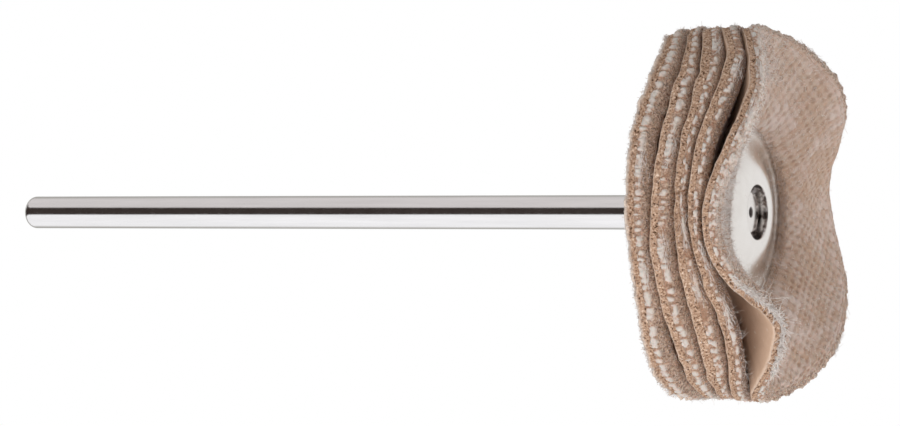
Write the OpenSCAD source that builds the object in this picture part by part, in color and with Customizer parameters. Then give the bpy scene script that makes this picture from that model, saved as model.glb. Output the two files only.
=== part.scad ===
// Cloth polishing wheel on a slim steel shank.
// Five round plies of foam-backed cloth are clamped between two washers. The shank's turned-down
// end passes through the stack and is peened over inside the front washer's pocket.
// The spin axis is Y. The wheel's front faces -Y, the free shank runs towards +Y, and the origin
// is on the axis at the shank's shoulder, where the free shank meets the back washer.

/* [Shank] */
// Diameter of the free shank
shank_d = 2.35; // [2.3:0.05:3.2]
// Length of the free shank, from its shoulder to its tail end
shank_free = 53.35; // [30:0.1:60]
// Radius that rounds the tail end
tail_round = 0.65; // [0.2:0.05:0.8]
// Diameter of the turned-down end that carries the wheel
spigot_d = 1.6; // [1.2:0.05:1.8]
// Diameter of the peened head
head_d = 3.0; // [2.4:0.05:3.2]
// Height of the peened head above the pocket's floor
head_h = 0.27; // [0.15:0.01:0.4]
// Diameter of the dimple left in the head by the peening punch
dimple_d = 0.7; // [0.4:0.05:1]
// Depth of that dimple
dimple_depth = 0.14; // [0.05:0.01:0.2]

/* [Washers] */
// Outer diameter of both washers
washer_d = 12; // [10:0.1:14]
// Sheet thickness of the front washer
washer_t = 0.35; // [0.25:0.01:0.5]
// Height of the front washer's dome above its brim
dome_h = 0.8; // [0.5:0.01:0.9]
// Diameter at the foot of the dome
dome_foot_d = 10.4; // [9:0.1:10.8]
// Diameter of the dome's shoulder, where its steep flank ends
dome_top_d = 4.6; // [4:0.1:8.4]
// How much the dome's top still rises from its shoulder to the pocket
dome_crown = 0.1; // [0:0.01:0.3]
// Diameter of the pocket in the middle of the dome
pocket_d = 3.6; // [3.4:0.05:4]
// Thickness of the flat back washer
back_t = 0.5; // [0.4:0.05:0.8]

/* [Plies] */
// Diameter of the wheel when its plies lie flat
wheel_d = 25.5; // [22:0.1:30]
// Thickness of one ply where the washers clamp it
ply_clamped = 0.63; // [0.5:0.01:0.7]
// Thickness of one ply at its rim
ply_free = 0.85; // [0.75:0.01:0.9]
// Share of a ply's thickness that is foam, the rest being cloth
foam_share = 0.55; // [0.4:0.05:0.7]
// Smallest gap left between the rims of two plies
rim_gap = 0.05; // [0.04:0.01:0.2]

/* [Rim waves] */
// How far each ply's rim leans forward on average, from the back ply to the front ply
rim_lean = [-0.1, 0.65, 1.05, 1.5, 2.3]; // [-0.5:0.05:3]
// Waves round the rim: [how many, angle of a crest, height of the wave on each ply]
rim_waves = [
    [1, 116, [0.15, 0.55, 0.8, 0.75, 0.95]],
    [2, 95, [0.5, 0.25, 0.45, 0.45, 0.25]],
    [3, 68, [0.25, 0.4, 0.3, 0.15, 0]],
    [4, 45, [0.4, 0.5, 0.55, 0.85, 1.45]],
    [5, 33, [0.3, 0.2, 0.2, 0.3, 0.05]],
    [6, 18, [0.05, 0.15, 0.1, 0.2, 0.3]]
]; // [0:0.05:1.5]

/* [Hidden] */

steel = [0.78, 0.78, 0.78];
nickel = [0.9, 0.89, 0.87];
foam_tan = [0.72, 0.56, 0.43];
cloth_grey = [0.78, 0.72, 0.67];

PLIES = 5;
AROUND = 48;                                // points round a ply
STATIONS = [0, 0.1, 0.25, 0.45, 0.7, 1];    // rings, as shares of the way from clamp to rim
SPRING_BACK = 8;                            // how soon a ply regains its thickness past the clamp
BORE_PLAY = 0.03;                           // radial room between the spigot and what it carries
ROUND = 96;                                 // $fn of turned metal
ARC_STEPS = 8;                              // points on a small turned radius

stack = PLIES * ply_clamped;
clamp_r = washer_d / 2 + 0.1;               // where the plies leave the washers' grip
reach = wheel_d / 2 - clamp_r;              // free length of a ply, measured along the cloth
front_y = -(back_t + stack);                // plane between the front ply and the front washer
bore_r = spigot_d / 2 + BORE_PLAY;

// Points on an arc of radius r about [cx, cz], from angle a0 to a1
function arc(cx, cz, r, a0, a1) =
    [for (i = [0 : ARC_STEPS]) let (a = a0 + (a1 - a0) * i / ARC_STEPS) [cx + r * cos(a), cz + r * sin(a)]];

// Turns a profile of [radius, distance towards +Y] about the spin axis
module turned(profile) {
    rotate([-90, 0, 0])
        rotate_extrude($fn = ROUND)
            polygon(profile);
}

// ---- Shank ----

module shank() {
    head_base = front_y - washer_t;
    head_top = head_base - head_h;
    head_round = head_h * 0.7;
    body_r = shank_d / 2;
    color(steel)
        turned(concat(
            [[0, head_top + dimple_depth], [dimple_d / 4, head_top + dimple_depth], [dimple_d / 2, head_top]],
            arc(head_d / 2 - head_round, head_top + head_round, head_round, -90, 0),
            [[head_d / 2, head_base], [spigot_d / 2, head_base], [spigot_d / 2, 0], [body_r, 0]],
            arc(body_r - tail_round, shank_free - tail_round, tail_round, 0, 90),
            [[0, shank_free]]
        ));
}

// ---- Washers ----

module back_washer() {
    edge = back_t * 0.3;
    color(nickel)
        turned(concat(
            [[bore_r, -back_t], [washer_d / 2 - edge, -back_t]],
            arc(washer_d / 2 - edge, -back_t + edge, edge, -90, 0),
            arc(washer_d / 2 - edge, -edge, edge, 0, 90),
            [[bore_r, 0]]
        ));
}

// S-curve that rises from 0 to 1 as r goes inwards from the dome's foot to radius inner
function foot_to(inner, r) =
    let (t = (dome_foot_d / 2 - r) / (dome_foot_d / 2 - inner))
    (1 - cos(180 * min(max(t, 0), 1))) / 2;

// Height of the dome above the brim, at radius r
function dome_rise(r) =
    (dome_h - dome_crown) * foot_to(dome_top_d / 2, r) + dome_crown * foot_to(pocket_d / 2, r);

module front_washer() {
    brim_y = front_y - washer_t;
    lip = washer_t / 2;
    lip_r = pocket_d / 2 + lip;
    wall_r = pocket_d / 2 + washer_t;
    edge = washer_t * 0.4;
    DOME_STEPS = 20;
    dome_r = [for (i = [0 : DOME_STEPS]) lip_r + (dome_foot_d / 2 - lip_r) * i / DOME_STEPS];
    outside = [for (r = dome_r) [r, brim_y - dome_rise(r)]];
    inside = [for (i = [DOME_STEPS : -1 : 0]) let (r = dome_r[i]) if (r > wall_r) [r, front_y - dome_rise(r)]];
    color(nickel)
        turned(concat(
            [[bore_r, brim_y], [pocket_d / 2, brim_y]],
            arc(lip_r, brim_y - dome_h + lip, lip, -180, -90),
            outside,
            arc(washer_d / 2 - edge, brim_y + edge, edge, -90, 0),
            [[washer_d / 2, front_y]],
            inside,
            [[wall_r, front_y - dome_rise(wall_r)], [wall_r, front_y], [bore_r, front_y]]
        ));
}

// ---- Plies ----

// How far the rim of ply k stands forward of its flat place, at angle a from the top.
// Each ply rests on the one behind it.
function rim_height(k, a) =
    let (free = rim_lean[k - 1] + sum([for (w = rim_waves) w[2][k - 1] * cos(w[0] * (a - w[1]))]))
    k == 1 ? free : max(free, rim_height(k - 1, a) + rim_gap);

function sum(v, i = 0) = i == len(v) ? 0 : v[i] + sum(v, i + 1);

// The cloth doesn't stretch, so a rim that stands further forward is drawn in towards the axis
function rim_radius(h) = clamp_r + sqrt(max(reach * reach - h * h, 1));

function ply_thickness(u) = ply_free + (ply_clamped - ply_free) * pow(1 - u, SPRING_BACK);

// Point of ply k at angle a, a share u of the way from clamp to rim and a share v through its thickness
function ply_point(k, a, u, v) =
    let (
        h = rim_height(k, a),
        r = clamp_r + (rim_radius(h) - clamp_r) * u,
        forward = (k - 1 + v) * ply_thickness(u) + h * u
    )
    [-r * sin(a), -(back_t + forward), r * cos(a)];

function skin_points(k, v) = concat(
    [[0, -(back_t + (k - 1 + v) * ply_clamped), 0]],
    [for (u = STATIONS, j = [0 : AROUND - 1]) ply_point(k, 360 * j / AROUND, u, v)]
);

// Triangles of one skin, whose points start at `first`. They face +Y, or -Y if flipped.
function skin_faces(first, flipped) =
    let (
        last = len(STATIONS) - 1,
        at = function (i, j) first + 1 + i * AROUND + j % AROUND,
        fan = [for (j = [0 : AROUND - 1]) [first, at(0, j), at(0, j + 1)]],
        bands = [
            for (i = [0 : last - 1], j = [0 : AROUND - 1], upper = [0, 1])
                upper == 0 ? [at(i, j), at(i + 1, j), at(i + 1, j + 1)] : [at(i, j), at(i + 1, j + 1), at(i, j + 1)]
        ]
    )
    [for (f = concat(fan, bands)) flipped ? [f[2], f[1], f[0]] : f];

// One layer of ply k, between shares v0 and v1 of the ply's thickness
module layer(k, v0, v1) {
    count = 1 + len(STATIONS) * AROUND;
    rim = count - AROUND;
    edge_faces = [
        for (j = [0 : AROUND - 1], upper = [0, 1])
            let (a = rim + j, b = rim + (j + 1) % AROUND)
            upper == 0 ? [a, a + count, b + count] : [a, b + count, b]
    ];
    difference() {
        polyhedron(
            points = concat(skin_points(k, v0), skin_points(k, v1)),
            faces = concat(skin_faces(0, false), skin_faces(count, true), edge_faces)
        );
        rotate([90, 0, 0])
            cylinder(r = bore_r, h = 4 * stack, center = true, $fn = ROUND);
    }
}

module ply_foam(k) {
    color(foam_tan)
        layer(k, 0, foam_share);
}

module ply_cloth(k) {
    color(cloth_grey)
        layer(k, foam_share, 1);
}

shank();
back_washer();
front_washer();
ply_foam(1);  // ply_1_foam
ply_cloth(1);  // ply_1_cloth
ply_foam(2);  // ply_2_foam
ply_cloth(2);  // ply_2_cloth
ply_foam(3);  // ply_3_foam
ply_cloth(3);  // ply_3_cloth
ply_foam(4);  // ply_4_foam
ply_cloth(4);  // ply_4_cloth
ply_foam(5);  // ply_5_foam
ply_cloth(5);  // ply_5_cloth
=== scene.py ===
"""Looks for the mounted cloth polishing wheel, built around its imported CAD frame.

Lengths are worked out in millimetres and turned into metres where a mesh or object is made.
The spin axis is Y. The wheel's front faces -Y and its shank runs towards +Y.
Angles round the wheel, phi, are in degrees from +Z towards -X, as in the CAD: 0 is the top, 90 the
side nearest to the camera and 180 the foot.
Along a ply, u runs from 0 at the washers' edge to 1 at the rim, and is below 0 under the washers.
Through a ply, v runs from 0 at its back to 1 at its front. Plies are counted from the shank side.
"""

import math

import bpy
import numpy as np
from mathutils import Matrix, Vector


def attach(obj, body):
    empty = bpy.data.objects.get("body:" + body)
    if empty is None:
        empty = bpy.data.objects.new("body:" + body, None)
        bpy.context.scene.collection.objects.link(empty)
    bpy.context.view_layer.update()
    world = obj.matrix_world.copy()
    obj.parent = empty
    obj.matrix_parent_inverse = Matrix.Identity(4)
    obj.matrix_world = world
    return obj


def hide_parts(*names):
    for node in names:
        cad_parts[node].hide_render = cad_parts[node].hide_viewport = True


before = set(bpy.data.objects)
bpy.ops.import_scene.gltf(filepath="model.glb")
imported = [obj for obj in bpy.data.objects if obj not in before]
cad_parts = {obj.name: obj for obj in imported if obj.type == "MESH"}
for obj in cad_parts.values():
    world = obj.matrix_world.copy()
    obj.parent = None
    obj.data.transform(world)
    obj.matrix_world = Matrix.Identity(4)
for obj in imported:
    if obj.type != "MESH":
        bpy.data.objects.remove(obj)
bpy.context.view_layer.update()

MM = 0.001
PLIES = 5
AROUND = 1200              # points round a ply
FOAM_RINGS = 10            # rings of points across the foam's share of the cut rim
CLOTH_RINGS = 14           # and across the cloth's
UNDER_WASHERS = (-1, -0.02, 2)               # rings under the washers: first u, last u, how many
RIM_POINTS = 48            # points round a ply's rim in the CAD model
FREE = 0.85                # thickness of a ply at its rim in the CAD model

# Cloth and foam, in millimetres and degrees
PITCH = (0.475, 0.60)      # distance between yarns, in the first and in the second set of the weave
BODY = 0.98                # thickness of a ply with nothing pressing on it
NAP_ROOM = 0.05            # room left in front of the cloth for its nap

# The same, with one value for each ply
SHOWN = (1.0, 0.85, 0.75, 0.80, 0.90)        # share of the yarn ends that show white
TURN = (92, 86, 14, 24, -43)                 # from the X direction to the way the first yarns are counted
FLARE = (1.50, 1.50, 1.50, 1.10, 1.15)       # thickness at the frayed rim
FOAM_SHARE = (0.38, 0.34, 0.43, 0.38, 0.37)  # share of the thickness that is foam
LIP = (0.36, 0.06, 0.06, 0.06, 0.03)         # how far the foam skin bulges at the rim's back edge
WORN_TOP = (0.42, 0.42, 0.46, 0.42, 0.16)    # how far the rim is worn in at the top
WORN_FOOT = (0.30, 0.26, 0.22, 0.10, 0.05)   # and at the foot
ALTERNATE = (0.06, 0.10, 0.16, 0.14, 0.22)   # how far yarn ends sit to and fro, as a share of the cloth
OVAL = (0.40, 0.36, 0.32, 0.32, 0.32)        # half the breadth of a yarn end, as a share of the cloth
ROUND_IN = (0.85, 0.85, 0.65, 0.70, 0.45)    # how far inwards the rim's front edge is rounded off
# The fourth ply's low nap value also paints the shade in the pocket and the gap in front of it.
NAP_SHADE = (0.42, 0.38, 0.34, 0.15, 0.45)   # from brown to white nap on the rim's front edge
# Painted highlight: a light line along the rim's back edge, where the foam skin catches the light.
EDGE_HIGHLIGHT = (0.8, 0.2, 0.2, 0.2, 0.3)        # how light the foam skin is along the rim's back edge


# ---------------------------------------------------------------- noise

def lattice_random(i, j, seed):
    """A repeatable random number from 0 to 1 for each lattice point."""
    h = (i.astype(np.int64) * 374761393 + j.astype(np.int64) * 668265263 + seed * 974634777) & 0x7FFFFFFF
    h = ((h ^ (h >> 13)) * 1274126177) & 0x7FFFFFFF
    h = ((h ^ (h >> 16)) * 461845907) & 0x7FFFFFFF
    return ((h ^ (h >> 15)) & 0xFFFFFF) / 0xFFFFFF


def value_noise(x, y, cell, seed):
    """Smooth noise from 0 to 1 with features about one cell across."""
    x, y = x / cell, y / cell
    i, j = np.floor(x), np.floor(y)
    fx, fy = x - i, y - j
    fx, fy = fx * fx * (3 - 2 * fx), fy * fy * (3 - 2 * fy)
    a = lattice_random(i, j, seed) * (1 - fx) + lattice_random(i + 1, j, seed) * fx
    b = lattice_random(i, j + 1, seed) * (1 - fx) + lattice_random(i + 1, j + 1, seed) * fx
    return a * (1 - fy) + b * fy


def layered_noise(x, y, cell, seed):
    """Noise from 0 to 1 in three layers, each finer and weaker than the last."""
    total = sum(0.55 ** o * value_noise(x, y, cell / 2 ** o, seed + 31 * o) for o in range(3))
    return total / (1 + 0.55 + 0.55 ** 2)


# ---------------------------------------------------------------- shape of the plies

def node_points(name):
    """The CAD node's vertices, in millimetres."""
    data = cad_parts[name].data
    points = np.zeros(len(data.vertices) * 3, np.float32)
    data.vertices.foreach_get("co", points)
    return points.reshape(-1, 3).astype(float) / MM


def radius_of(points):
    """Distance from the spin axis."""
    return np.hypot(points[..., 0], points[..., 2])


def angle_of(points):
    """Angle round the wheel, phi."""
    return np.degrees(np.arctan2(-points[..., 0], points[..., 2])) % 360


def polar(phi, r, y):
    """Points at angle phi, distance r from the spin axis and place y along it."""
    a = np.radians(phi)
    return np.stack([-r * np.sin(a), y + 0 * r, r * np.cos(a)], axis=-1)


def unit(v):
    return v / np.maximum(np.linalg.norm(v, axis=-1, keepdims=True), 1e-9)


def bump_at(phi, centre, width):
    """A smooth bump of height 1 round the wheel."""
    off = (np.asarray(phi) - centre + 180) % 360 - 180
    return np.exp(-(off / width) ** 2)


def rim_of(k):
    """Radius, and height above the back washer, of the back edge of ply k's CAD rim at equal angles."""
    points = node_points(f"ply_{k}_foam")
    radius = radius_of(points)
    slot = np.round(angle_of(points) / 360 * RIM_POINTS).astype(int) % RIM_POINTS
    rim = []
    for i in range(RIM_POINTS):
        r = radius[slot == i]
        y = points[slot == i, 1]
        rim.append((r.max(), BASE_Y - y[r > r.max() - 0.02].max()))
    return np.array(rim).T


def periodic(values, phi):
    """Smooth periodic interpolation of values given at equal steps of angle."""
    n = len(values)
    t = (np.asarray(phi) % 360) / 360 * n
    i = np.floor(t).astype(int)
    f = t - i
    a, b, c, d = (values[(i + o) % n] for o in (-1, 0, 1, 2))
    return b + 0.5 * f * (c - a + f * (2 * a - 5 * b + 4 * c - d + f * (3 * (b - c) + d - a)))


washer = node_points("front_washer")
CLAMP_R = radius_of(washer).max() + 0.1      # where the plies leave the washers' grip
BASE_Y = node_points("back_washer")[:, 1].min()
CLAMPED = (BASE_Y - washer[:, 1].max()) / PLIES
BORE_R = radius_of(node_points("back_washer")).min()
HEAD_Y = node_points("shank")[:, 1].min()    # top of the peened head
rims = [rim_of(k) for k in range(1, PLIES + 1)]
FLAT_R = max(radii.max() for radii, heights in rims)
RING = np.arange(AROUND) * 360 / AROUND      # angles of the points round a ply
RING_ARC = np.radians(RING) * FLAT_R         # how far round the flat disc they are


def rim_at(k, phi):
    """Radius and height of the back edge of ply k's rim, worn a little at the top and the foot."""
    radii, heights = rims[k - 1]
    worn = WORN_TOP[k - 1] * bump_at(phi, 0, 32) + WORN_FOOT[k - 1] * bump_at(phi, 180, 28)
    ragged = 0.10 * (layered_noise(np.radians(phi) * 12, 0 * phi + 9 * k, 2.2, 40 + k) - 0.5)
    settle = 0.38 * bump_at(phi, 30, 22) if k == PLIES else 0
    wobble = 0.30 * (layered_noise(np.radians(phi) * 12, 0 * phi + 7 * k, 1.5, 50 + k) - 0.5)
    return periodic(radii, phi) - worn + ragged, periodic(heights, phi) - settle + wobble


def lean_at(k, phi):
    """How much further in than the front edge the back edge of ply k's rim is."""
    if k == 1:
        return 0.40 * bump_at(phi, 2, 24)
    return 0.34 * bump_at(phi, 6, 26) if k == PLIES else 0 * phi


def spring_back(u):
    """How far a ply has regained its thickness."""
    return 1 - (1 - np.clip(u, 0, 1)) ** 8


def back_height(k, phi, u):
    """Height above the back washer of ply k's back."""
    height = rim_at(k, phi)[1]
    mid = CLAMPED + (FREE - CLAMPED) * spring_back(u)
    return (k - 1) * mid + (height - (k - 1) * FREE) * np.clip(u, 0, None)


def back_point(k, phi, u):
    """Points on ply k's back."""
    rim_r = rim_at(k, phi)[0]
    r = CLAMP_R + np.where(u > 0, rim_r - CLAMP_R, CLAMP_R - BORE_R) * u
    return polar(phi, r, BASE_Y - back_height(k, phi, u))


def ply_at(k, phi, u):
    """Back points, normals towards the front, directions towards the rim, and thickness of ply k."""
    back = back_point(k, phi, u)
    outward = unit(back_point(k, phi, u + 0.004) - back_point(k, phi, u - 0.004))
    along = back_point(k, phi + 0.25, u) - back_point(k, phi - 0.25, u)
    normal = unit(np.cross(outward, along))
    normal = normal * np.where(normal[..., 1:2] > 0, -1, 1)
    wanted = CLAMPED + (BODY - CLAMPED) * spring_back(u)
    flare = FLARE[k - 1] + (0.35 * bump_at(phi, 22, 34) if k == PLIES - 1 else 0)
    wanted = wanted + (flare - BODY) * np.clip((u - 0.68) / 0.18, 0, 1) ** 2
    if k == PLIES:
        # The front ply swells beside the washer
        wanted = wanted + 0.45 * bump_at(phi, 91, 24) * np.exp(-((u - 0.38) / 0.26) ** 2)
    else:
        # The others thicken only as far as the ply in front leaves room
        rim_r = rim_at(k + 1, phi)[0]
        next_u = (radius_of(back) - CLAMP_R) / (rim_r - CLAMP_R)
        room = (back_height(k + 1, phi, next_u) - (BASE_Y - back[..., 1])) * -normal[..., 1]
        room = room - NAP_ROOM * np.clip(u * 4, 0, 1)
        wanted = wanted - 0.06 * np.logaddexp(0, (wanted - room) / 0.06)
    clamped = u <= 0
    normal[clamped] = (0, -1, 0)
    return back, normal, outward, np.where(clamped, CLAMPED, np.maximum(wanted, 0.3))


def through_cloth(k, v):
    """Share of the way through ply k's cloth."""
    return (v - FOAM_SHARE[k - 1]) / (1 - FOAM_SHARE[k - 1])


def rim_rounding(k, v):
    """Share of ROUND_IN by which the cut rim is drawn in."""
    return np.clip((through_cloth(k, v) - 0.36) / 0.64, 0, 1) ** 2


def front_rounding(u):
    """Share of ROUND_IN by which the front face is drawn in."""
    return np.clip((u - 0.86) / 0.14, 0, 1)


def on_rim(k, phi, v, sink):
    """Points sunk a little into ply k's cut rim, with the ply's normals and outward directions."""
    back, normal, outward, thick = ply_at(k, phi, np.ones_like(phi))
    inward = sink + ROUND_IN[k - 1] * rim_rounding(k, v) + lean_at(k, phi) * (1 - v)
    return back + normal * (thick * v)[:, None] - outward * inward[:, None], normal, outward


def on_front(k, phi, u, sink):
    """Points sunk a little into ply k's front, with the ply's normals and outward directions."""
    back, normal, outward, thick = ply_at(k, phi, np.minimum(u, 0.995))
    inward = ROUND_IN[k - 1] * front_rounding(u)
    return back + normal * (thick - sink)[:, None] - outward * inward[:, None], normal, outward


# ---------------------------------------------------------------- weave

def flat_place(phi, u):
    """Where a point of a ply was on the flat cut disc."""
    a = np.radians(phi)
    rho = CLAMP_R + np.where(u > 0, FLAT_R - CLAMP_R, CLAMP_R - BORE_R) * u
    return -rho * np.sin(a), rho * np.cos(a)


def thread_place(k, x, z):
    """Place among the yarns: whole numbers are the gaps between yarns of the first and second set."""
    a = math.radians(TURN[k - 1])
    p = x * math.cos(a) + z * math.sin(a)
    q = z * math.cos(a) - x * math.sin(a)
    p2 = p + 0.22 * (value_noise(x, z, 2.6, 60 + k) - 0.5)
    q2 = q + 0.22 * (value_noise(x, z, 2.6, 70 + k) - 0.5)
    return p2 / PITCH[0], q2 / PITCH[1]


def weave_relief(p, q, seed):
    """Relief of the plain weave, from about 0 in the gaps to 1 on the crowns."""
    i, j = np.floor(p), np.floor(q)
    cp, cq = np.abs(p - i - 0.5) * 2, np.abs(q - j - 0.5) * 2
    over = np.where((i + j) % 2 == 0, 1.0, -1.0)
    first = np.sqrt(1 - 0.85 * cq ** 2) * (0.70 + 0.30 * over * (1 - cp ** 2))
    second = np.sqrt(1 - 0.85 * cp ** 2) * (0.70 - 0.30 * over * (1 - cq ** 2))
    return np.maximum(first, second) * (0.88 + 0.24 * lattice_random(i, j, seed))


def yarn_ends(k):
    """Every cut yarn end round ply k's rim: its angle, how square to the rim the yarn is cut, whether it
    lies over (1) or under (-1), its pitch, and how white it is."""
    found = []
    rng = np.random.default_rng(900 + k)
    for first, turn, pitch in ((-1, TURN[k - 1] + 90, PITCH[0]), (1, TURN[k - 1], PITCH[1])):
        a = math.radians(turn)
        for j in range(-int(FLAT_R / pitch) - 1, int(FLAT_R / pitch) + 1):
            c = (j + 0.5) * pitch
            if abs(c) >= FLAT_R:
                continue
            reach = math.sqrt(FLAT_R ** 2 - c ** 2)
            for side in (1, -1):
                x = side * reach * math.cos(a) - c * math.sin(a)
                z = side * reach * math.sin(a) + c * math.cos(a)
                angle = math.degrees(math.atan2(-x, z)) + rng.normal(0, 0.35)
                over = first * (1 if j % 2 else -1)
                white = rng.uniform(0.65, 0.95) if rng.random() < SHOWN[k - 1] else 0.15
                found.append((angle % 360, reach / FLAT_R, over, pitch, white))
    return np.array(found)


# ---------------------------------------------------------------- meshes

def mesh_piece(name, points, quads, attributes, material):
    """A smooth piece from points in millimetres, quads, and named values for each point."""
    mesh = bpy.data.meshes.new(name)
    mesh.vertices.add(len(points))
    mesh.vertices.foreach_set("co", (points * MM).astype(np.float32).ravel())
    mesh.loops.add(quads.size)
    mesh.loops.foreach_set("vertex_index", quads.astype(np.int32).ravel())
    mesh.polygons.add(len(quads))
    mesh.polygons.foreach_set("loop_start", np.arange(0, quads.size, 4, dtype=np.int32))
    mesh.update(calc_edges=True)
    mesh.polygons.foreach_set("use_smooth", np.ones(len(mesh.polygons), bool))
    for key, values in attributes.items():
        kind, field = ("FLOAT_VECTOR", "vector") if values.shape[-1] == 3 else ("FLOAT", "value")
        layer = mesh.attributes.new(key, kind, "POINT")
        layer.data.foreach_set(field, values.astype(np.float32).ravel())
    mesh.materials.append(material)
    piece = bpy.data.objects.new(name, mesh)
    bpy.context.scene.collection.objects.link(piece)
    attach(piece, "root")
    return piece


def skin_piece(name, runs, attributes, material):
    """A closed piece from runs of rings of points, whose last ring joins its first."""
    rings = np.concatenate(runs)
    i, j = np.meshgrid(np.arange(len(rings)), np.arange(AROUND), indexing="ij")
    i2, j2 = (i + 1) % len(rings), (j + 1) % AROUND
    corners = [i * AROUND + j, i * AROUND + j2, i2 * AROUND + j2, i2 * AROUND + j]
    quads = np.stack(corners, axis=-1).reshape(-1, 4)
    return mesh_piece(name, rings.reshape(-1, 3), quads, attributes, material)


def by_run(runs, *values):
    """A value for each point of a skin, from a number or an array for each of its runs of rings."""
    spread = [np.broadcast_to(value, (len(run), AROUND)) for run, value in zip(runs, values)]
    return np.concatenate(spread).reshape(-1, 1)


def strand_parts(roots, heading, length, thick, curl, steps, rng, settle):
    """Points, quads and strand numbers of three-sided fibres that taper and curl as they grow."""
    n = len(roots)
    line = [roots]
    heading = unit(heading)
    bend = unit(rng.normal(size=(n, 3)))
    for step in range(steps):
        turned = heading + curl * (0.6 * bend + 0.55 * rng.normal(size=(n, 3)))
        if settle is not None:
            turned = turned - settle * 0.22 * (step + 1)
        heading = unit(turned)
        line.append(line[-1] + heading * (length / steps)[:, None])
    line = np.stack(line, axis=1)
    run = unit(np.gradient(line, axis=1))
    side = unit(np.cross(run, unit(rng.normal(size=(n, 1, 3)))))
    up = np.cross(run, side)
    taper = np.linspace(1, 0.35, steps + 1)[None, :, None, None]
    turn = np.arange(3) * 2 * np.pi / 3
    ring = side[:, :, None] * np.cos(turn)[:, None] + up[:, :, None] * np.sin(turn)[:, None]
    points = line[:, :, None] + ring * (thick / 2)[:, None, None, None] * taper
    s, c = np.meshgrid(np.arange(steps), np.arange(3), indexing="ij")
    c2 = (c + 1) % 3
    one = np.stack([s * 3 + c, s * 3 + c2, (s + 1) * 3 + c2, (s + 1) * 3 + c], axis=-1).reshape(-1, 4)
    quads = one[None] + (np.arange(n) * 3 * (steps + 1))[:, None, None]
    return points.reshape(-1, 3), quads.reshape(-1, 4), np.repeat(np.arange(n), 3 * (steps + 1))


class Fibres:
    """Collects fibres and turns them into one piece."""

    def __init__(self, seed):
        self.rng = np.random.default_rng(seed)
        self.points, self.quads, self.shade, self.total = [], [], [], 0

    def grow(self, roots, heading, length, thick, curl, steps, shade, settle=None):
        """Adds fibres; settle is the way they stand up, which they turn away from."""
        points, quads, strand = strand_parts(roots, heading, length, thick, curl, steps, self.rng, settle)
        self.points.append(points)
        self.quads.append(quads + self.total)
        self.shade.append(shade[strand])
        self.total += len(points)

    def piece(self, name, material):
        made = mesh_piece(name, np.concatenate(self.points), np.concatenate(self.quads),
                          {"shade": np.concatenate(self.shade)}, material)


# ---------------------------------------------------------------- shader helpers

class Nodes:
    """Adds and links shader nodes."""

    def __init__(self, tree):
        self.tree = tree
        tree.nodes.clear()

    def add(self, kind, **settings):
        node = self.tree.nodes.new(kind)
        for key, value in settings.items():
            setattr(node, key, value)
        return node

    def feed(self, socket, value):
        """Links a socket, or sets a number or colour directly."""
        if isinstance(value, bpy.types.NodeSocket):
            self.tree.links.new(value, socket)
        elif isinstance(value, (int, float)):
            socket.default_value = value
        else:
            socket.default_value = (*value, 1)

    def attribute(self, name, output="Fac"):
        return self.add("ShaderNodeAttribute", attribute_name=name).outputs[output]

    def place(self):
        """Place in the piece's own space, in metres."""
        return self.add("ShaderNodeTexCoord").outputs["Object"]

    def split(self, vector):
        node = self.add("ShaderNodeSeparateXYZ")
        self.feed(node.inputs[0], vector)
        return node.outputs

    def noise(self, scale, detail=3.0, roughness=0.6, stretch=(1, 1, 1)):
        """Noise in the piece's own space; scale is in features per millimetre."""
        mapping = self.add("ShaderNodeMapping")
        mapping.inputs["Scale"].default_value = stretch
        self.feed(mapping.inputs["Vector"], self.place())
        node = self.add("ShaderNodeTexNoise")
        node.inputs["Scale"].default_value = scale / MM
        node.inputs["Detail"].default_value = detail
        node.inputs["Roughness"].default_value = roughness
        self.feed(node.inputs["Vector"], mapping.outputs["Vector"])
        return node.outputs["Fac"]

    def ramp(self, value, *stops):
        """Colour ramp; each stop is (place, colour or grey)."""
        node = self.add("ShaderNodeValToRGB")
        elements = node.color_ramp.elements
        while len(elements) < len(stops):
            elements.new(0.5)
        for element, (place, colour) in zip(elements, stops):
            element.position = place
            grey = isinstance(colour, (int, float))
            element.color = (colour, colour, colour, 1) if grey else (*colour, 1)
        self.feed(node.inputs["Fac"], value)
        return node.outputs["Color"]

    def mix(self, factor, a, b, blend="MIX"):
        node = self.add("ShaderNodeMix", data_type="RGBA", blend_type=blend)
        self.feed(node.inputs["Factor"], factor)
        self.feed(node.inputs[6], a)
        self.feed(node.inputs[7], b)
        return node.outputs[2]

    def math(self, operation, a, b=0.0, c=0.0):
        node = self.add("ShaderNodeMath", operation=operation)
        for socket, value in zip(node.inputs, (a, b, c)):
            self.feed(socket, value)
        return node.outputs[0]

    def span(self, value, start, end):
        """0 where the value is at start, 1 where it is at end, smooth between."""
        node = self.add("ShaderNodeMapRange", interpolation_type="SMOOTHSTEP")
        self.feed(node.inputs["Value"], value)
        node.inputs["From Min"].default_value = start
        node.inputs["From Max"].default_value = end
        return node.outputs["Result"]

    def facing(self, direction, towards, start, end):
        """As span, of how nearly a direction points towards another."""
        node = self.add("ShaderNodeVectorMath", operation="DOT_PRODUCT")
        node.inputs[1].default_value = towards
        self.feed(node.inputs[0], direction)
        return self.span(node.outputs["Value"], start, end)

    def from_axis(self):
        """Distance from the spin axis in millimetres."""
        flat = self.add("ShaderNodeVectorMath", operation="MULTIPLY")
        self.feed(flat.inputs[0], self.place())
        flat.inputs[1].default_value = (1, 0, 1)
        radius = self.add("ShaderNodeVectorMath", operation="LENGTH")
        self.feed(radius.inputs[0], flat.outputs[0])
        return self.math("DIVIDE", radius.outputs["Value"], MM)

    def bump(self, height, distance_mm, strength):
        node = self.add("ShaderNodeBump")
        node.inputs["Distance"].default_value = distance_mm * MM
        node.inputs["Strength"].default_value = strength
        self.feed(node.inputs["Height"], height)
        return node.outputs["Normal"]


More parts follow.
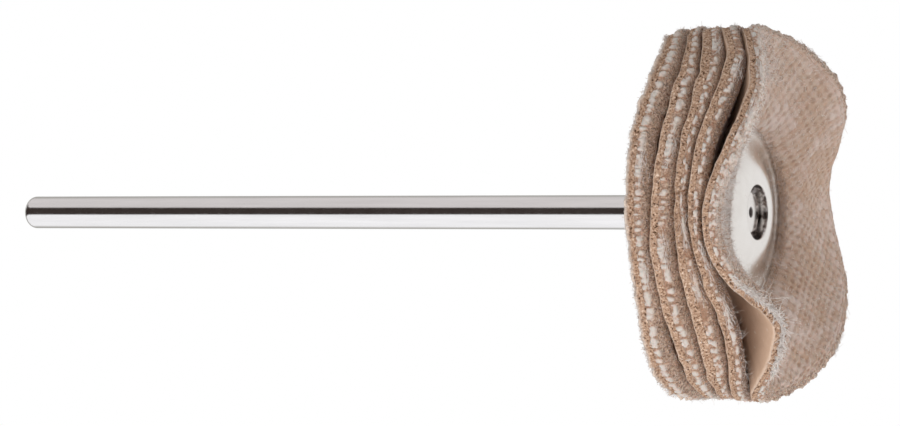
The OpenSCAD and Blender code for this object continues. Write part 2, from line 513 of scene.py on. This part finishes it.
def new_material(name, **values):
    """A material with one Principled shader; values are its plain settings."""
    material = bpy.data.materials.new(name)
    material.use_nodes = True
    nodes = Nodes(material.node_tree)
    shader = nodes.add("ShaderNodeBsdfPrincipled")
    output = nodes.add("ShaderNodeOutputMaterial")
    nodes.feed(output.inputs["Surface"], shader.outputs["BSDF"])
    for key, value in values.items():
        nodes.feed(shader.inputs[key.replace("_", " ").title().replace("Ior", "IOR")], value)
    return material, nodes, shader


# ---------------------------------------------------------------- materials

def steel_material():
    """Polished steel; the peened head is duller, and the dimple in its middle is painted dark as shade."""
    material, nodes, shader = new_material("polished_steel", metallic=1.0)
    nodes.feed(shader.inputs["Roughness"], nodes.ramp(nodes.noise(0.9, 4, 0.65), (0.3, 0.10), (0.7, 0.16)))
    grind = nodes.noise(2.0, 5, 0.7, (0.4, 5, 0.4))
    nodes.feed(shader.inputs["Normal"], nodes.bump(grind, 0.006, 0.6))
    streaks = nodes.noise(0.4, 4, 0.6, (6, 0.35, 6))
    bright = nodes.ramp(streaks, (0.3, (0.86, 0.85, 0.845)), (0.7, (0.95, 0.94, 0.935)))
    # Painted shade: the dimple in the peened head is painted nearly black.
    dimple = nodes.span(nodes.from_axis(), 0.44, 0.26)
    head_tone_and_dimple_shade = nodes.mix(dimple, (0.76, 0.725, 0.68), (0.05, 0.04, 0.036))
    y_mm = nodes.math("DIVIDE", nodes.split(nodes.place())["Y"], MM)
    head = nodes.span(y_mm, HEAD_Y + 1.0, HEAD_Y + 0.6)
    nodes.feed(shader.inputs["Base Color"], nodes.mix(head, bright, head_tone_and_dimple_shade))
    return material


def nickel_material():
    """Satin nickel: its brim painted darker as shade, and dark residue with painted shade in the groove
    round the peened head.
    """
    material, nodes, shader = new_material("satin_nickel", metallic=1.0)
    nodes.feed(shader.inputs["Roughness"], nodes.ramp(nodes.noise(1.5, 4, 0.6), (0.3, 0.19), (0.7, 0.28)))
    hairlines = nodes.noise(1.2, 5, 0.75, (0.6, 1, 14))
    nodes.feed(shader.inputs["Normal"], nodes.bump(hairlines, 0.006, 0.6))
    cloud = nodes.noise(0.5, 4, 0.6)
    clean = nodes.ramp(cloud, (0.3, (0.76, 0.725, 0.675)), (0.7, (0.82, 0.79, 0.745)))
    r = nodes.from_axis()
    # Painted shade: the brim is painted darker and greyer, dimming its reflection.
    brim = nodes.math("MULTIPLY", nodes.span(r, 5.2, 5.6), 0.6)
    clean = nodes.mix(brim, clean, (0.62, 0.59, 0.56))
    # Partly residue, partly painted shade: the groove round the peened head is painted dark.
    groove = nodes.math("MULTIPLY", nodes.span(r, 1.47, 1.54), nodes.span(r, 1.88, 1.80))
    grime_and_shade = nodes.ramp(nodes.noise(1.3, 4, 0.65), (0.42, (0.06, 0.042, 0.036)),
                       (0.52, (0.30, 0.26, 0.245)), (0.62, (0.75, 0.73, 0.72)))
    nodes.feed(shader.inputs["Base Color"], nodes.mix(groove, clean, grime_and_shade))
    return material


def foam_material():
    """Tan foam: a smooth skin at the back with a painted highlight along its edge, and open cells on the
    cut rim with painted shade in their pores and painted highlights on their strands.
    """
    material, nodes, shader = new_material("tan_foam", roughness=0.8, specular_ior_level=0.0)
    cut = nodes.attribute("cut")
    skin = nodes.ramp(nodes.noise(0.9, 4, 0.65), (0.30, (0.58, 0.40, 0.29)), (0.70, (0.66, 0.47, 0.345)))
    specks = nodes.ramp(nodes.noise(2.2, 1, 0.5), (0.73, 0.0), (0.77, 0.5))
    skin = nodes.mix(specks, skin, (0.78, 0.70, 0.62))
    # Painted shade in the open cells' pores, and painted highlights on the strands between them.
    cells = nodes.noise(6.5, 3, 0.62)
    open_foam_shade_and_highlights = nodes.ramp(cells, (0.38, (0.05, 0.026, 0.016)), (0.425, (0.35, 0.215, 0.14)),
                           (0.57, (0.45, 0.31, 0.225)), (0.67, (0.70, 0.55, 0.44)))
    foam = nodes.mix(cut, skin, open_foam_shade_and_highlights)
    # Painted highlight: a light line along the skin's edge at the back of the rim.
    foam = nodes.mix(nodes.attribute("edge"), foam, (0.72, 0.65, 0.59))
    nodes.feed(shader.inputs["Base Color"], foam)
    nodes.feed(shader.inputs["Normal"], nodes.bump(nodes.math("MULTIPLY", cells, cut), 0.09, 0.9))
    return material


def cloth_face(nodes, fibre):
    """Colour of the cloth's face: grey-beige yarns with brown gaps between them, worn in places."""
    thread = nodes.split(nodes.attribute("thread", "Vector"))
    off = []
    for axis in "XY":
        from_middle = nodes.math("SUBTRACT", nodes.math("FRACT", thread[axis]), 0.5)
        off.append(nodes.math("MULTIPLY", nodes.math("ABSOLUTE", from_middle), 2.0))
    gap = nodes.span(nodes.math("MULTIPLY", *off), 0.06, 0.66)
    worn = nodes.span(nodes.noise(0.28, 3, 0.6), 0.36, 0.66)
    tone = nodes.span(nodes.attribute("tone"), 0.20, 0.80)
    yarn = nodes.mix(tone, (0.43, 0.295, 0.22), (0.565, 0.457, 0.41))
    yarn = nodes.mix(nodes.math("MULTIPLY", worn, 0.60), yarn, (0.42, 0.285, 0.195))
    pale_fibre = nodes.math("MULTIPLY", nodes.span(fibre, 0.42, 0.75), 0.4)
    yarn = nodes.mix(pale_fibre, yarn, (0.62, 0.56, 0.52))
    patches = nodes.math("MULTIPLY_ADD", nodes.span(nodes.noise(1.1, 2, 0.5), 0.35, 0.65), 0.6, 0.6)
    depth = nodes.math("MULTIPLY", nodes.math("MULTIPLY_ADD", worn, 0.22, 0.32), patches)
    return nodes.mix(nodes.math("MULTIPLY", gap, depth), yarn, (0.24, 0.13, 0.078))


def cloth_rim(nodes, fibre, pale):
    """Colour of the cloth's cut rim: torn fibres, pale yarn ends outlined by painted shade in the creases,
    and soft nap.
    """
    torn = nodes.ramp(fibre, (0.36, (0.215, 0.13, 0.09)), (0.62, (0.51, 0.37, 0.285)))
    torn = nodes.mix(nodes.math("MULTIPLY", pale, 0.5), torn, (0.55, 0.47, 0.42))
    tuft = nodes.attribute("tuft")
    # Painted shade in the creases round each yarn end.
    crease_shade = nodes.math("MULTIPLY", nodes.span(tuft, 0.0, 0.08), nodes.span(tuft, 0.38, 0.16))
    torn = nodes.mix(nodes.math("MULTIPLY", crease_shade, 0.75), torn, (0.27, 0.15, 0.095))
    ends = nodes.mix(nodes.span(tuft, 0.20, 0.70), torn, (0.50, 0.455, 0.42))
    dusty = nodes.ramp(fibre, (0.36, (0.46, 0.37, 0.31)), (0.60, (0.66, 0.60, 0.56)))
    brown = nodes.ramp(fibre, (0.38, (0.13, 0.08, 0.057)), (0.60, (0.50, 0.375, 0.295)))
    return nodes.mix(nodes.attribute("fuzz"), ends, nodes.mix(pale, brown, dusty))


def cloth_material():
    """Napped cotton, whiter where it has been held, painted paler as light on the front ply's near side,
    and with painted shade near the washers, in the gaps and where other plies hide it.
    """
    material, nodes, shader = new_material(
        "napped_cotton", roughness=0.9, specular_ior_level=0.0, sheen_weight=0.15, sheen_roughness=0.6,
        subsurface_weight=0.2, subsurface_scale=0.2 * MM)
    shader.subsurface_method = "BURLEY"
    fibre = nodes.noise(6.0, 4, 0.7)
    pale = nodes.attribute("pale")
    # Painted light: the front ply's face is made paler on its near side.
    face = nodes.mix(nodes.math("MULTIPLY", pale, 0.55), cloth_face(nodes, fibre), (0.68, 0.63, 0.60))
    colour = nodes.mix(nodes.attribute("cut"), face, cloth_rim(nodes, fibre, pale))
    # Painted shade: darker near the washers, in the gaps between plies, and over parts of the front ply's
    # far face.
    colour = nodes.mix(nodes.attribute("painted_shade"), colour, (0.10, 0.06, 0.045))
    nodes.feed(shader.inputs["Base Color"], colour)
    nodes.feed(shader.inputs["Normal"], nodes.bump(fibre, 0.06, 0.7))
    return material


def fibre_material():
    """Loose cotton fibres, from brown at shade 0 to white at shade 1."""
    material, nodes, shader = new_material("cotton_fibre", roughness=0.85, specular_ior_level=0.0)
    tint = nodes.ramp(nodes.attribute("shade"), (0.0, (0.28, 0.145, 0.085)), (0.35, (0.60, 0.39, 0.265)),
                      (0.65, (0.62, 0.505, 0.445)), (1.0, (0.80, 0.765, 0.745)))
    mottle = nodes.ramp(nodes.noise(3.0, 2, 0.5), (0.35, 0.82), (0.65, 1.0))
    nodes.feed(shader.inputs["Base Color"], nodes.mix(1.0, tint, mottle, "MULTIPLY"))
    return material


# ---------------------------------------------------------------- plies

def held_pale_and_lit_at(phi):
    """Where the front ply's edge has turned white from handling, and where its face is painted paler as
    light.
    """
    return bump_at(phi, 50, 52)


def gap_shade_at(phi):
    """Where the rim of the ply behind the front one gets painted shade, beside the gaps in front of it."""
    return bump_at(phi, 35, 32) + bump_at(phi, 135, 30)


def stations(*runs):
    """Values of u from runs of (start, end, how many), ending at 1."""
    return np.append(np.concatenate([np.linspace(a, b, n, endpoint=False) for a, b, n in runs]), 1.0)


def ply_grid(k, u_list):
    """u and phi of rings of points, one ring for each u, and what ply_at gives for them."""
    u, phi = np.meshgrid(u_list, RING, indexing="ij")
    return u, phi, *ply_at(k, phi, u)


def back_skin(k):
    """Rings over ply k's back, which ripples a little near the rim."""
    u, phi, back, normal, _, _ = ply_grid(k, stations(UNDER_WASHERS, (-0.02, 1, 22)))
    ripple = value_noise(np.radians(phi) * 12.6, u * 4, 0.22, 80 + k) - 0.5
    ripple = np.clip((u - 0.90) / 0.10, 0, 1) * ripple
    return back + normal * (0.10 * ripple * np.clip((1 - u) * 40, 0, 1))[..., None]


def bond_skin(k):
    """Rings where ply k's foam and cloth are bonded."""
    _, _, back, normal, _, thick = ply_grid(k, stations(UNDER_WASHERS, (-0.02, 1, 7)))
    return back + normal * (thick * FOAM_SHARE[k - 1])[..., None]


def front_skin(k, u_list):
    """Rings over ply k's front with its weave in relief, and the tone, painted shade and yarns of each
    point.
    """
    u, phi, back, normal, outward, thick = ply_grid(k, u_list)
    x, z = flat_place(phi, u)
    p, q = thread_place(k, x, z)
    relief = 0.13 * (weave_relief(p, q, 400 + k) - 0.9) + 0.06 * (layered_noise(x, z, 0.24, 500 + k) - 0.5)
    relief = np.where(u > 0.005, relief, 0)
    inward = ROUND_IN[k - 1] * front_rounding(u)
    rings = back + normal * (thick + relief)[..., None] - outward * inward[..., None]
    tone = 0.6 * layered_noise(x, z, 1.3, 560 + k) + 0.4 * lattice_random(np.floor(p), np.floor(q), 580 + k)
    return rings, tone, front_painted_shade(k, phi, u), np.stack([p, q, np.zeros_like(p)], axis=-1)


def front_painted_shade(k, phi, u):
    """How much painted shade ply k's front gets: most near the washers, where other plies hide it, and over
    the top and the foot of the front ply's far face.
    """
    painted_shade = 0.22 * np.clip(1 - u / 0.45, 0, 1)
    if k == PLIES:
        far_side = 0.10 * bump_at(phi, 270, 42) * np.clip(1.5 - 1.5 * u, 0, 1)
        painted_shade = painted_shade * (1 - 0.9 * bump_at(phi, 80, 45)) + far_side
        painted_shade = painted_shade + (0.20 * bump_at(phi, 318, 30) + 0.13 * bump_at(phi, 222, 35)) * np.clip(u * 2, 0, 1)
    if k == PLIES - 1:
        painted_shade = painted_shade + 0.30 * np.clip(u * 3 - 1, 0, 1)
    return painted_shade


def rim_skin(k, v_list, shape):
    """Rings across ply k's cut rim, and what shape(k, v, arc) gives for them besides its bulge."""
    _, _, edge, normal, outward, thick = (part[0] for part in ply_grid(k, np.array([1.0])))
    v, arc = np.meshgrid(v_list, RING_ARC, indexing="ij")
    bulge, extra = shape(k, v, arc)
    push = bulge - ROUND_IN[k - 1] * rim_rounding(k, v) - lean_at(k, RING)[None] * (1 - v)
    rings = edge[None] + normal[None] * (thick[None] * v)[..., None] + outward[None] * push[..., None]
    return rings, extra


def foam_shape(k, v, arc):
    """Bulge of the foam's cut rim: grain, and a lip of skin along its back edge, which is returned too."""
    grain = layered_noise(arc, v * 1.05, 0.15, 100 + k)
    lumps = value_noise(RING_ARC, 0 * RING_ARC, 0.45, 150 + k) ** 1.5
    lip = np.clip(1 - v / (0.15 if k == 1 else 0.08), 0, 1)
    return 0.20 * (grain - 0.5) * (1 - lip) + LIP[k - 1] * lumps * lip ** 0.5, lip


def cloth_shape(k, v, arc):
    """Bulge of the cloth's cut rim: grain, and an oval tuft for each yarn end, which is returned too."""
    w = through_cloth(k, v)
    grain = layered_noise(arc, v * 1.05, 0.13, 300 + k)
    tuft = np.zeros_like(w)
    for angle, square, over, pitch, white in yarn_ends(k):
        off = (RING - angle + 180) % 360 - 180
        half = math.degrees(0.42 * pitch / FLAT_R) / max(square, 0.12)
        middle = 0.30 + ALTERNATE[k - 1] * over
        oval = 1.15 - (off[None] / half) ** 2 - ((w - middle) / OVAL[k - 1]) ** 2 - 1.0 * (1 - grain) ** 2
        tuft = np.maximum(tuft, white * np.clip(oval, 0, 1) ** 0.7)
    return 0.20 * tuft + 0.14 * (grain - 0.5), tuft


def build_foam(k, material):
    """Ply k's foam: its back, its share of the cut rim, and the bond."""
    rim, lip = rim_skin(k, np.linspace(0.0, FOAM_SHARE[k - 1], FOAM_RINGS), foam_shape)
    cut = np.ones((FOAM_RINGS, 1))
    cut[0] = 0.3
    runs = (back_skin(k)[:-1], rim, bond_skin(k)[-2::-1])
    piece = skin_piece(f"ply_{k}_foam_layer", runs, {
        "cut": by_run(runs, 0.0, cut, 0.0),
        # Painted highlight along the rim's back edge
        "edge": by_run(runs, 0.0, EDGE_HIGHLIGHT[k - 1] * lip, 0.0)}, material)
    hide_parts(f"ply_{k}_foam")


def build_cloth(k, material):
    """Ply k's cloth: the bond, its share of the cut rim, and the woven front."""
    rim, tuft = rim_skin(k, np.linspace(FOAM_SHARE[k - 1], 1.0, CLOTH_RINGS), cloth_shape)
    fuzz = np.clip((np.linspace(0, 1, CLOTH_RINGS) - 0.42) / 0.25, 0, 1)[:, None]
    # Painted shade on the rim of the ply behind the front one, beside the gaps.
    gap_shade = 0.80 * fuzz * gap_shade_at(RING) * (k == PLIES - 1)
    # The front ply's rim is paler from handling; its face is painted paler as light.
    pale = held_pale_and_lit_at(RING) * (k == PLIES)
    # The front ply's face is all in view; the others show only near the rim
    face_runs = ((-0.02, 1, 84),) if k == PLIES else ((-0.02, 0.4, 7), (0.4, 1, 30))
    face = front_skin(k, stations(UNDER_WASHERS, *face_runs))
    front, tone, painted_shade, thread = (part[-2::-1] for part in face)
    runs = (bond_skin(k)[:-1], rim, front)
    no_thread = np.zeros((len(runs[0]) + CLOTH_RINGS, AROUND, 3))
    piece = skin_piece(f"ply_{k}_cloth_layer", runs, {
        "cut": by_run(runs, 0.0, 1.0, 0.0),
        "fuzz": by_run(runs, 0.0, fuzz, 0.0),
        "pale": by_run(runs, pale, pale, pale),
        "tuft": by_run(runs, 0.0, tuft, 0.0),
        "tone": by_run(runs, 0.5, 0.5, tone),
        "painted_shade": by_run(runs, 0.0, gap_shade, painted_shade),
        "thread": np.concatenate([no_thread, thread]).reshape(-1, 3)}, material)
    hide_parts(f"ply_{k}_cloth")


# ---------------------------------------------------------------- fibres

# All batches of a piece draw from one stream of random numbers, so their order matters

def calm(phi):
    """Share of their length that loose fibres have; they are shorter away from the near side."""
    return 0.25 + 0.65 * bump_at(phi, 95, 55)


def along_rim(hair, normal, outward):
    """Directions along the rim, one way or the other."""
    return unit(np.cross(outward, normal)) * hair.rng.choice((-1, 1), (len(normal), 1))


def grow_yarn_ends(hair, k):
    """Short, nearly parallel fibres on each yarn end, and strands where a yarn is cut along its length."""
    rng, share, per_end = hair.rng, FOAM_SHARE[k - 1], 18
    ends = yarn_ends(k)
    square = ends[:, 1]
    end = np.repeat(ends[square > 0.30], per_end, axis=0)
    m = len(end)
    spread = rng.normal(0, 0.085, m) / np.maximum(end[:, 1], 0.45)
    phi = end[:, 0] + np.degrees(spread / FLAT_R)
    v = share + (1 - share) * (0.36 + ALTERNATE[k - 1] * end[:, 2]) + rng.normal(0, 0.08, m)
    roots, n, out = on_rim(k, phi, v, np.full(m, 0.10))
    hair.grow(roots, out + 0.32 * rng.normal(size=out.shape),
              rng.uniform(0.14, 0.26, m), rng.uniform(0.035, 0.055, m), 0.30, 2,
              np.clip(0.25 + 0.6 * end[:, 4] + rng.normal(0, 0.08, m), 0, 1))
    m = 46
    half = math.degrees(0.8 / FLAT_R)
    for angle in ends[square <= 0.30][:, 0]:
        phi = angle + rng.uniform(-half, half, m)
        v = share + (1 - share) * rng.normal(0.45, 0.16, m)
        roots, n, out = on_rim(k, phi, v, np.full(m, -0.01))
        along = along_rim(hair, n, out)
        hair.grow(roots, along + 0.10 * out + 0.10 * rng.normal(size=out.shape),
                  rng.uniform(0.4, 1.0, m), rng.uniform(0.030, 0.050, m), 0.16, 3,
                  rng.uniform(0.75, 1.0, m))


def grow_lint(hair, k):
    """Torn foam and brown lint all over the rim, nap on its front edge, and fine hairs that stand off."""
    rng = hair.rng
    m = 6000
    phi = rng.uniform(0, 360, m)
    v = rng.uniform(0.02, 1.0, m)
    roots, n, out = on_rim(k, phi, v, np.full(m, 0.0))
    hair.grow(roots, 0.15 * out + rng.normal(size=out.shape),
              rng.uniform(0.12, 0.30, m) * calm(phi), rng.uniform(0.030, 0.055, m), 0.75, 3,
              np.clip(rng.normal(0.32, 0.20, m) + 0.12 * v, 0, 0.9))
    phi = rng.uniform(0, 360, m)
    roots, n, out = on_rim(k, phi, 1 - 0.38 * rng.random(m) ** 1.3, np.full(m, 0.03))
    shade = NAP_SHADE[k - 1] + (0.38 * held_pale_and_lit_at(phi) if k == PLIES else 0)
    # Painted shade: this ply's nap is darker beside the gaps.
    if k == PLIES - 1:
        shade = shade - 0.35 * gap_shade_at(phi)
    hair.grow(roots, 0.1 * out + 0.4 * n + 0.9 * rng.normal(size=out.shape),
              rng.uniform(0.14, 0.30, m) * calm(phi), rng.uniform(0.028, 0.048, m), 0.45, 2,
              np.clip(rng.normal(shade, 0.26, m), 0, 1))
    m = 60 if k == PLIES else 100
    phi = rng.uniform(0, 360, m)
    roots, n, out = on_rim(k, phi, rng.uniform(0.1, 1.0, m), np.full(m, 0.02))
    hair.grow(roots, out + 0.9 * rng.normal(size=out.shape),
              rng.uniform(0.15, 0.6, m) ** 1.3, rng.uniform(0.014, 0.024, m), 0.55, 5,
              rng.uniform(0.6, 1.0, m))


def grow_back_fluff(hair, k):
    """Pale fluff on the back edge, on the camera's side."""
    rng, m = hair.rng, 1300
    phi = rng.uniform(15, 165, m)
    roots, n, out = on_rim(k, phi, rng.uniform(-0.05, 0.10, m), -LIP[k - 1] * rng.uniform(-0.2, 0.7, m))
    hair.grow(roots, rng.normal(size=out.shape) - 0.3 * n,
              rng.uniform(0.08, 0.18, m), rng.uniform(0.04, 0.06, m), 0.8, 2,
              rng.uniform(0.65, 1.0, m))


def grow_pocket_hairs(hair, k):
    """Hairs across the pocket between this ply and the next."""
    rng, m = hair.rng, 150
    phi = rng.uniform(98, 172, m)
    roots, n, out = on_rim(k, phi, rng.uniform(0.7, 1.0, m), np.full(m, 0.02))
    hair.grow(roots, n + 0.8 * rng.normal(size=out.shape),
              rng.uniform(0.3, 0.9, m), rng.uniform(0.016, 0.026, m), 0.6, 6,
              rng.uniform(0.7, 1.0, m))


def grow_pocket_lip(hair, k):
    """White strands along the rim over the pocket, and long loose hairs."""
    rng, m = hair.rng, 520
    phi = rng.uniform(112, 153, m)
    roots, n, out = on_rim(k, phi, rng.uniform(0.40, 0.66, m), np.full(m, -0.04))
    along = along_rim(hair, n, out)
    hair.grow(roots, along + 0.15 * out + 0.2 * rng.normal(size=out.shape),
              rng.uniform(0.3, 0.8, m), rng.uniform(0.045, 0.075, m), 0.34, 5,
              rng.uniform(0.85, 1.0, m))
    m = 34
    phi = rng.uniform(102, 152, m)
    roots, n, out = on_rim(k, phi, rng.uniform(0.6, 1.0, m), np.full(m, 0.0))
    hair.grow(roots, n + 0.4 * out + 0.7 * rng.normal(size=out.shape),
              rng.uniform(0.7, 1.7, m), rng.uniform(0.020, 0.030, m), 0.42, 8,
              rng.uniform(0.85, 1.0, m))


def build_edge_fibres(k, material):
    """Splayed yarn ends, torn foam and stray hairs on the rim of ply k."""
    hair = Fibres(600 + k)
    grow_yarn_ends(hair, k)
    grow_lint(hair, k)
    if k == 1:
        grow_back_fluff(hair, k)
    if k == PLIES - 1:
        grow_pocket_hairs(hair, k)
    if k == PLIES:
        grow_pocket_lip(hair, k)
    hair.piece(f"ply_{k}_edge_fibres", material)


def build_nap(k, batch, count, inner, material):
    """Short raised fibres on ply k's front, from u = inner out to the rim."""
    nap = Fibres(700 + 10 * k + batch - 1)
    rng = nap.rng
    reach = FLAT_R - CLAMP_R
    start = CLAMP_R + reach * inner
    u = (np.sqrt(start ** 2 + rng.random(count) * (FLAT_R ** 2 - start ** 2)) - CLAMP_R) / reach
    phi = rng.uniform(0, 360, count)
    roots, n, out = on_front(k, phi, u, 0.04)
    across = unit(np.cross(n, out))
    turn = rng.uniform(0, 2 * np.pi, count)[:, None]
    heading = out * np.cos(turn) + across * np.sin(turn) + n * rng.uniform(0.0, 0.35, count)[:, None]
    nap.grow(roots, heading, rng.uniform(0.20, 0.65, count), rng.uniform(0.016, 0.028, count), 0.38, 3,
             np.clip(rng.normal(0.70, 0.20, count), 0.1, 1), settle=n)
    nap.piece(f"ply_{k}_nap_{batch}", material)


def build_near_fuzz(k, material):
    """Thicker, curlier fuzz on ply k's front beside the washer, where the wheel has been held."""
    fuzz = Fibres(790)
    rng = fuzz.rng
    for count, middle, low, high, length, thick in (
            (7500, 76, 0.15, 0.92, 0.30, 0.042),
            (1500, 76, 0.10, 0.60, 0.55, 0.016),
            (3000, 14, 0.45, 0.94, 0.36, 0.026)):
        phi = rng.normal(middle, 20, count)
        roots, n, out = on_front(k, phi, rng.uniform(low, high, count), 0.05)
        heading = 0.35 * n + rng.normal(size=n.shape)
        brown = rng.random(count) < 0.16
        shade = np.where(brown, rng.uniform(0.0, 0.3, count), rng.uniform(0.9, 1.0, count))
        fuzz.grow(roots, heading,
                  length * rng.uniform(0.6, 1.5, count), thick * rng.uniform(0.7, 1.3, count), 0.8, 4,
                  shade)
    # Nap that laps over the washer's far edge
    m = 2200
    phi = rng.normal(268, 26, m)
    roots, n, out = on_front(k, phi, rng.uniform(0.04, 0.12, m), 0.03)
    fuzz.grow(roots, 0.2 * n - out + 0.35 * rng.normal(size=n.shape),
              rng.uniform(0.4, 0.8, m), rng.uniform(0.022, 0.036, m), 0.5, 4,
              rng.uniform(0.3, 0.75, m))
    fuzz.piece(f"ply_{k}_near_fuzz", material)


# ---------------------------------------------------------------- stage, light and camera

def build_camera():
    """Camera level with the spin axis, 27 degrees in front of square to it."""
    turn = math.radians(63)
    distance, aside, raised = 235.9, 16.78, -0.047
    data = bpy.data.cameras.new("camera")
    data.sensor_width = 36
    data.lens = 140
    data.clip_start, data.clip_end = 0.01, 10
    camera = bpy.data.objects.new("camera", data)
    right = Vector((math.cos(turn), -math.sin(turn), 0))
    back = Vector((-math.sin(turn), -math.cos(turn), 0))
    hub = Vector((0, BASE_Y, raised)) * MM
    place = hub - right * aside * MM + back * distance * MM
    rotation = Matrix((right, Vector((0, 0, 1)), back)).transposed()
    camera.matrix_world = Matrix.Translation(place) @ rotation.to_4x4()
    bpy.context.scene.collection.objects.link(camera)
    bpy.context.scene.camera = camera


def soft_light(nodes, direction, height):
    """What cloth and foam receive: a bright table, and two soft lobes of light. One is low behind the
    camera, the other on the far side in front of the wheel."""
    soft = nodes.mix(nodes.span(height, -0.5, 0.6), (0.88, 0.87, 0.86), (0.62, 0.615, 0.61))
    low = nodes.facing(direction, (-0.77, -0.35, -0.53), 0.45, 0.95)
    soft = nodes.mix(low, soft, (2.0, 1.97, 1.95))
    far = nodes.facing(direction, (0.87, -0.47, 0.12), 0.60, 0.95)
    return nodes.mix(far, soft, (1.15, 1.14, 1.12))


def mirrored_light(nodes, direction, height):
    """What metal mirrors: a white room with a dark band at the camera's height, on the camera's side."""
    below = nodes.span(height, -0.26, -0.20)
    above = nodes.span(height, 0.44, 0.52)
    band = nodes.math("MULTIPLY", below, nodes.math("SUBTRACT", 1.0, above))
    camera_side = nodes.facing(direction, (-0.978, 0.208, 0), 0.02, 0.20)
    band = nodes.math("MULTIPLY", band, camera_side)
    room = nodes.mix(nodes.span(height, 0.3, 0.5), (0.93, 0.93, 0.95), (0.66, 0.63, 0.63))
    tail_side = nodes.facing(direction, (0.77, 0.64, 0), 0.55, 0.85)
    room = nodes.mix(tail_side, room, (0.42, 0.41, 0.39))
    return nodes.mix(band, room, (0.035, 0.026, 0.023))


def build_world():
    """A white studio, with its own light for cloth and for metal."""
    world = bpy.data.worlds.new("studio")
    world.use_nodes = True
    bpy.context.scene.world = world
    nodes = Nodes(world.node_tree)
    direction = nodes.add("ShaderNodeTexCoord").outputs["Generated"]
    height = nodes.split(direction)["Z"]
    path = nodes.add("ShaderNodeLightPath")
    soft, mirrored = soft_light(nodes, direction, height), mirrored_light(nodes, direction, height)
    seen = nodes.mix(path.outputs["Is Glossy Ray"], soft, mirrored)
    seen = nodes.mix(path.outputs["Is Camera Ray"], seen, (1.0, 1.0, 1.0))
    light = nodes.add("ShaderNodeBackground")
    nodes.feed(light.inputs["Color"], seen)
    output = nodes.add("ShaderNodeOutputWorld")
    nodes.feed(output.inputs["Surface"], light.outputs[0])


def build_floor():
    """A plain white table far below, which only the camera sees."""
    material, nodes, shader = new_material("white_table", roughness=0.9, emission_strength=0.8)
    tone = nodes.ramp(nodes.noise(0.005, 2, 0.5), (0.3, 0.93), (0.7, 0.96))
    nodes.feed(shader.inputs["Base Color"], tone)
    nodes.feed(shader.inputs["Emission Color"], (1.0, 1.0, 1.0))
    half, drop = 0.3, -0.06
    corners = [(-half, -half, drop), (half, -half, drop), (half, half, drop), (-half, half, drop)]
    mesh = bpy.data.meshes.new("table")
    mesh.from_pydata(corners, [], [(0, 1, 2, 3)])
    mesh.materials.append(material)
    table = bpy.data.objects.new("table", mesh)
    table.visible_diffuse = table.visible_glossy = table.visible_shadow = False
    bpy.context.scene.collection.objects.link(table)


def build_lamp():
    """A round soft lamp to the camera's left, on the shank's side, aimed at the stack of plies."""
    data = bpy.data.lights.new("left", "AREA")
    data.shape = "DISK"
    data.size = 200 * MM
    data.energy = 0.12
    lamp = bpy.data.objects.new("left", data)
    lamp.visible_glossy = False
    place = Vector((-210, 130, 20)) * MM
    lamp.location = place
    lamp.rotation_euler = (Vector((0, -3, 0)) * MM - place).to_track_quat("-Z", "Y").to_euler()
    bpy.context.scene.collection.objects.link(lamp)


steel, nickel = steel_material(), nickel_material()
foam, cloth, fibre = foam_material(), cloth_material(), fibre_material()

for name, material in (("shank", steel), ("back_washer", nickel), ("front_washer", nickel)):
    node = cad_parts[name]
    node.data.materials.clear()
    node.data.materials.append(material)

for k in range(1, PLIES + 1):
    build_foam(k, foam)
    build_cloth(k, cloth)
    build_edge_fibres(k, fibre)
    if k < PLIES:
        build_nap(k, 1, 7500, 0.35, fibre)
build_nap(PLIES, 1, 5500, 0.03, fibre)
build_nap(PLIES, 2, 5500, 0.03, fibre)
build_near_fuzz(PLIES, fibre)

build_camera()
build_world()
build_floor()
build_lamp()
bpy.context.scene.view_settings.view_transform = "Standard"
